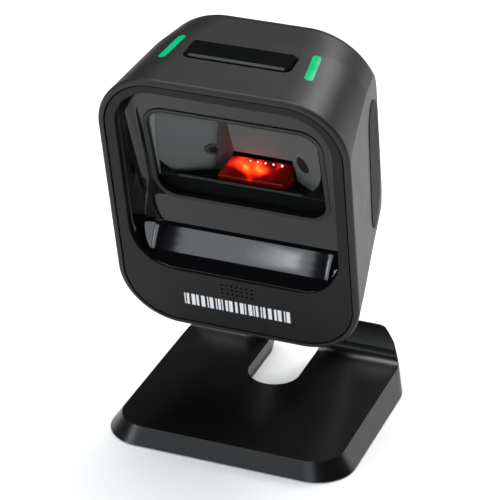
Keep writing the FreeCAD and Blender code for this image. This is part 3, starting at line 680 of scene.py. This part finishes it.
def pad_place(share, h):
    """Depth of a pad's point: from just behind the seam to where the side starts to round."""
    below, above = max(PAD_STRAIGHT[0] - h, 0), max(h - PAD_STRAIGHT[1], 0)
    rear = PAD_REAR - PAD_REAR_BOW * (below ** 2 + above ** 2)
    return part_way(PAD_FRONT + PAD_FRONT_SLOPE * h, rear, share)


def side_pads():
    half = PAD[0]
    for name, side in (("side_pad_left", -1), ("side_pad_right", 1)):
        verts = []
        for across, h in outline(*PAD):
            d = pad_place((across / half + 1) / 2, h)
            verts.append((side * (SIDE_HALF - SIDE_TAPER * d + PAD_PROUD), d, h))
        made = piece(name, verts, [tuple(range(len(verts)))], MATERIALS["side_pad"])
        thicken(made, 0.3, 0.0)
        soften(made, 0.1, 2)


# Mark on the chin: a plain row of bars, standing for the printed mark

MARK_LEFT, MARK_RIGHT = -18.8, 18.7
MARK_LOW, MARK_HIGH = 9.6, 14.2
MARK_BACK, MARK_FRONT = 0.17, 0.12      # the ink's two faces, just in front of the bezel
MARK_UNIT = 0.42                        # narrowest bar, and narrowest gap


def mark():
    """Bars one to three units wide with gaps of one or two, in a fixed pattern."""
    verts, faces = [], []
    x = MARK_LEFT
    index = 0
    while x < MARK_RIGHT - 2 * MARK_UNIT:
        width = MARK_UNIT * (1 + (index * 7 + index // 3) % 3)
        start = len(verts)
        verts += [(x + dx, d, h) for d in (MARK_BACK, MARK_FRONT) for dx, h in
                  ((0, MARK_LOW), (width, MARK_LOW), (width, MARK_HIGH), (0, MARK_HIGH))]
        faces += [tuple(start + i for i in face) for face in BOX_FACES]
        x += width + MARK_UNIT * (1 + (index * 5 + index // 4) % 2)
        index += 1
    ink = plastic("mark_ink", (0.72, 0.72, 0.74), 0.5, relief=0.000002, mottle=0.04)
    piece("chin_mark", verts, faces, ink)


# Floor and light

FLOOR_SIZE = 6.0
WORLD_STRENGTH, WORLD_TINT = 0.32, (0.93, 0.94, 0.95, 1)
SILL_PLACE = Vector((0, -0.013, 0.072))     # what the front lights face
FRONT_RANGE = 1.3                           # their distance from it
FRONT_RISES = [math.radians(rise) for rise in (24.7, 35.0, 45.3)]
FRONT_HEIGHT = 2 * FRONT_RANGE * math.tan((FRONT_RISES[1] - FRONT_RISES[0]) / 2)
# The front lights: name, place along x, width and power
FRONT_LIGHTS = (("front_softbox", -0.026, 0.652, 4.6), ("front_strip", -0.440, 0.128, 0.95))
# The bright core of the softbox, as nested lamps: width, height and power
CORE_LAMPS = ((0.007, 0.26, 0.016), (0.014, 0.34, 0.034), (0.022, 0.42, 0.055),
              (0.031, 0.50, 0.070), (0.042, 0.58, 0.070))
CORE_X = -0.379
CORE_CLOSER, CORE_STEP = 0.03, 0.01         # how far in front of the softbox they stand, and apart
COOL = (0.88, 0.95, 1.0)
# The other softboxes: name, place, aim, size, power and tint
SOFTBOXES = (("left_panel", (-0.80, -0.92, 0.42), (0, 0, 0.03), (0.30, 0.55), 3.0, COOL),
             ("top_softbox", (-0.1, 0.15, 1.35), (0, 0.1, 0), (1.1, 0.9), 20.0, (1, 1, 1)),
             ("rear_softbox", (0.36, 0.98, 1.02), (0, 0.0, 0.1), (0.55, 0.45), 9.0, (1, 1, 1)),
             ("rear_panel", (0.95, 1.25, 0.22), (0, 0.0, 0.05), (1.0, 0.42), 2.2, (1, 1, 1)))


def add_floor():
    mesh = bpy.data.meshes.new("floor")
    half = FLOOR_SIZE / 2
    corners = [(-half, -half, 0), (half, -half, 0), (half, half, 0), (-half, half, 0)]
    mesh.from_pydata(corners, [], [(0, 1, 2, 3)])
    floor = bpy.data.objects.new("floor", mesh)
    bpy.context.scene.collection.objects.link(floor)
    mesh.materials.append(plastic("floor_sweep", (0.80, 0.80, 0.80), 0.8, grain=0.002, relief=0.0,
                                  specular=0.1, mottle=0.01, smudge=0.02))


def add_light(name, place, aim, size, power, tint):
    """A rectangular softbox at place, facing aim."""
    data = bpy.data.lights.new(name, "AREA")
    data.shape = "RECTANGLE"
    data.size, data.size_y = size
    data.energy = power
    data.color = tint
    light = bpy.data.objects.new(name, data)
    bpy.context.scene.collection.objects.link(light)
    light.location = place
    light.rotation_euler = (Vector(aim) - Vector(place)).to_track_quat("-Z", "Y").to_euler()
    light.visible_camera = False


def add_front_light(name, x, rise, reach, size, power):
    """A light facing the sill, from a rise above level and at a place along x."""
    aim = SILL_PLACE + Vector((x, 0, 0))
    away = Vector((0, -math.cos(rise), math.sin(rise))) * reach
    add_light(name, aim + away, aim, size, power, COOL)


def add_lights():
    """Tall front lights whose reflections shape the sill, softboxes round about, and a pale world."""
    for name, x, width, power in FRONT_LIGHTS:
        for index, rise in enumerate(FRONT_RISES):
            add_front_light(f"{name}_{index}", x, rise, FRONT_RANGE, (width, FRONT_HEIGHT),
                            power / len(FRONT_RISES))
    for index, (width, height, power) in enumerate(CORE_LAMPS):
        reach = FRONT_RANGE - CORE_CLOSER - CORE_STEP * index
        add_front_light(f"front_lamp_{index}", CORE_X - width / 3, FRONT_RISES[1], reach,
                        (width, height), power)
    for softbox in SOFTBOXES:
        add_light(*softbox)
    world = bpy.data.worlds.new("studio")
    bpy.context.scene.world = world
    world.use_nodes = True
    background = next(n for n in world.node_tree.nodes if n.type == "BACKGROUND")
    background.inputs["Color"].default_value = WORLD_TINT
    background.inputs["Strength"].default_value = WORLD_STRENGTH
    world.cycles_visibility.glossy = False
    bpy.context.scene.view_settings.view_transform = "Standard"


# The whole scene

add_camera()
dress_nodes()
recess()
window()
optics_tub()
shelf()
mask()
lamp_block()
eyes()
side_pads()
mark()
soften(nodes["trigger_button"], 0.22, 3)
soften(nodes["stand_shell"], 0.7, 3, 25)
add_floor()
add_lights()
